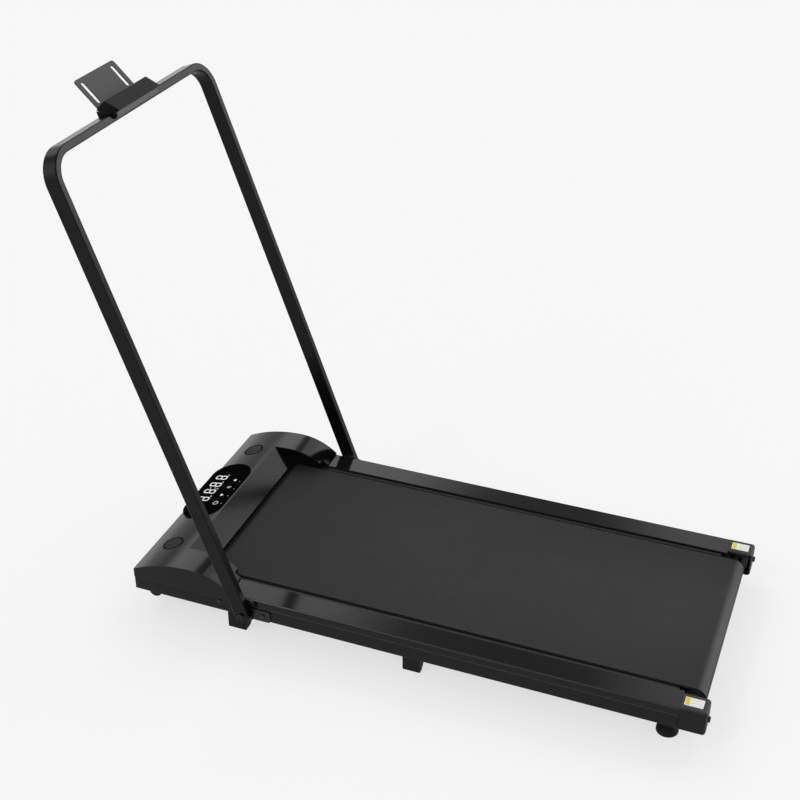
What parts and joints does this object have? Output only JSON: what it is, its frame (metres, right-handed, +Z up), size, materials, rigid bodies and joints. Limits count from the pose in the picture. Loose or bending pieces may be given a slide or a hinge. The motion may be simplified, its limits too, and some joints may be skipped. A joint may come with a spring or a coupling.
{
  "type": "treadmill",
  "caption": "Low motorised walking treadmill with a wide belt between side rails, an arched motor cover with display, and a U-shaped handrail that folds flat.",
  "frame": {"origin": "on the floor, under the middle of the part's outline with the handrail up", "axes": "+X from the motor cover to the rear end of the deck, +Y to the right of a person who walks on it, +Z up"},
  "size_m": [1.2462, 0.5606, 0.9835],
  "materials": {
    "frame_black": "satin black powder coat",
    "rail_black": "satin black powder coat",
    "bracket_black": "satin black powder coat",
    "cover_black": "glossy black moulded shell",
    "bezel_black": "black moulded rim",
    "window_black": "polished black window with white figures behind it",
    "grille_black": "matt black grille",
    "cap_black": "fine-grained black moulding",
    "label_white": "white label with a yellow end and plain scale marks",
    "belt_black": "matt black, embossed with a fine diamond texture",
    "board_brown": "fibreboard with a waxed face",
    "rubber_black": "matt black rubber",
    "steel_bright": "turned steel",
    "bolt_black": "black oxide",
    "zinc_steel": "zinc plated",
    "motor_black": "black enamel",
    "rotor_copper": "laminations and enamelled copper",
    "pulley_grey": "turned",
    "board_green": "solder-masked circuit board",
    "heat_sink_grey": "extruded",
    "capacitor_blue": "shrink sleeve",
    "fitting_black": "black moulding",
    "switch_red": "glossy red rocker",
    "button_grey": "grey button",
    "handrail_black": "satin black powder coat",
    "holder_black": "satin black moulding",
    "holder_grey": "satin dark grey moulding"
  },
  "bodies": {
    "deck": {"side_tube_left": "frame_black", "side_tube_right": "frame_black", "front_crossmember": "frame_black", "middle_crossmember": "frame_black", "rear_crossmember": "frame_black", "motor_tray": "frame_black", "side_rail_left": "rail_black", "side_rail_right": "rail_black", "end_cap_left": "cap_black", "end_cap_right": "cap_black", "cap_labels": "label_white", "front_axle_brackets": "zinc_steel", "rear_axle_brackets": "zinc_steel", "deck_board": "board_brown", "deck_cushions": "rubber_black", "walking_belt": "belt_black", "roller_axles": "steel_bright", "roller_bearings": "steel_bright", "motor_housing": "motor_black", "motor_bracket": "zinc_steel", "motor_bearings": "steel_bright", "drive_belt": "rubber_black", "controller_board": "board_green", "heat_sink": "heat_sink_grey", "capacitors": "capacitor_blue", "motor_cover": "cover_black", "display_bezel": "bezel_black", "display_window": "window_black", "display_board": "board_green", "speaker_grilles": "grille_black", "speakers": "motor_black", "power_inlet": "fitting_black", "switch_frame": "fitting_black", "overload_breaker": "fitting_black", "foot_blocks": "rubber_black", "lock_nuts": "zinc_steel", "wheel_brackets": "frame_black", "pivot_brackets": "bracket_black", "pivot_bolts": "bolt_black", "side_screws": "bolt_black"},
    "handrail": {"handrail_tube": "handrail_black", "handrail_plugs": "fitting_black", "stop_pins": "steel_bright", "holder_base": "holder_black", "holder_jaw": "fitting_black", "holder_pin": "steel_bright"},
    "holder_plate": {"holder_plate": "holder_grey"},
    "front_roller": {"front_roller": "motor_black", "roller_pulley": "pulley_grey"},
    "rear_roller": {"rear_roller": "motor_black"},
    "motor_rotor": {"motor_rotor": "rotor_copper", "motor_pulley": "pulley_grey"},
    "transport_wheel_left": {"transport_wheel_left": "rubber_black"},
    "transport_wheel_right": {"transport_wheel_right": "rubber_black"},
    "levelling_foot_left": {"levelling_foot_left": "rubber_black"},
    "levelling_foot_right": {"levelling_foot_right": "rubber_black"},
    "tension_bolt_left": {"tension_bolt_left": "bolt_black"},
    "tension_bolt_right": {"tension_bolt_right": "bolt_black"},
    "power_switch": {"power_switch": "switch_red"},
    "breaker_button": {"breaker_button": "button_grey"}
  },
  "joints": [
    {"name": "handrail_fold", "type": "hinge", "parent": "deck", "child": "handrail", "pos_m": [-0.25267, 0, 0.058], "axis": [0, 1, 0], "range_deg": [0, 109.3]},
    {"name": "holder_plate_tilt", "type": "hinge", "parent": "handrail", "child": "holder_plate", "pos_m": [-0.57601, 0, 0.93682], "axis": [0, 1, 0], "range_deg": [-20, 25]},
    {"name": "front_roller_spin", "type": "hinge", "parent": "deck", "child": "front_roller", "pos_m": [-0.35587, 0, 0.0629], "axis": [0, 1, 0], "continuous": true},
    {"name": "rear_roller_spin", "type": "hinge", "parent": "deck", "child": "rear_roller", "pos_m": [0.58762, 0, 0.0629], "axis": [0, 1, 0], "continuous": true},
    {"name": "motor_spin", "type": "hinge", "parent": "deck", "child": "motor_rotor", "pos_m": [-0.43088, -0.12, 0.07], "axis": [0, 1, 0], "continuous": true},
    {"name": "transport_wheel_left_spin", "type": "hinge", "parent": "deck", "child": "transport_wheel_left", "pos_m": [-0.46487, -0.226, 0.0245], "axis": [0, 1, 0], "continuous": true},
    {"name": "transport_wheel_right_spin", "type": "hinge", "parent": "deck", "child": "transport_wheel_right", "pos_m": [-0.46487, 0.226, 0.0245], "axis": [0, 1, 0], "continuous": true},
    {"name": "levelling_foot_left_turn", "type": "hinge", "parent": "deck", "child": "levelling_foot_left", "pos_m": [0.55112, -0.222, 0.02], "axis": [0, 0, 1], "continuous": true},
    {"name": "levelling_foot_right_turn", "type": "hinge", "parent": "deck", "child": "levelling_foot_right", "pos_m": [0.55112, 0.222, 0.02], "axis": [0, 0, 1], "continuous": true},
    {"name": "tension_bolt_left_turn", "type": "hinge", "parent": "deck", "child": "tension_bolt_left", "pos_m": [0.59913, -0.238, 0.0629], "axis": [1, 0, 0], "continuous": true},
    {"name": "tension_bolt_right_turn", "type": "hinge", "parent": "deck", "child": "tension_bolt_right", "pos_m": [0.59913, 0.238, 0.0629], "axis": [1, 0, 0], "continuous": true},
    {"name": "power_switch_rock", "type": "hinge", "parent": "deck", "child": "power_switch", "pos_m": [-0.48888, 0.196, 0.0545], "axis": [0, 1, 0], "range_deg": [-16, 0]},
    {"name": "breaker_press", "type": "slide", "parent": "deck", "child": "breaker_button", "axis": [1, 0, 0], "range_m": [0, 0.003], "stiffness_N_per_m": 400, "springref_m": -0.002}
  ],
  "couplings": [
    {"joint": "rear_roller_spin", "follows": "front_roller_spin", "ratio": 1},
    {"joint": "motor_spin", "follows": "front_roller_spin", "ratio": 1.8889}
  ]
}
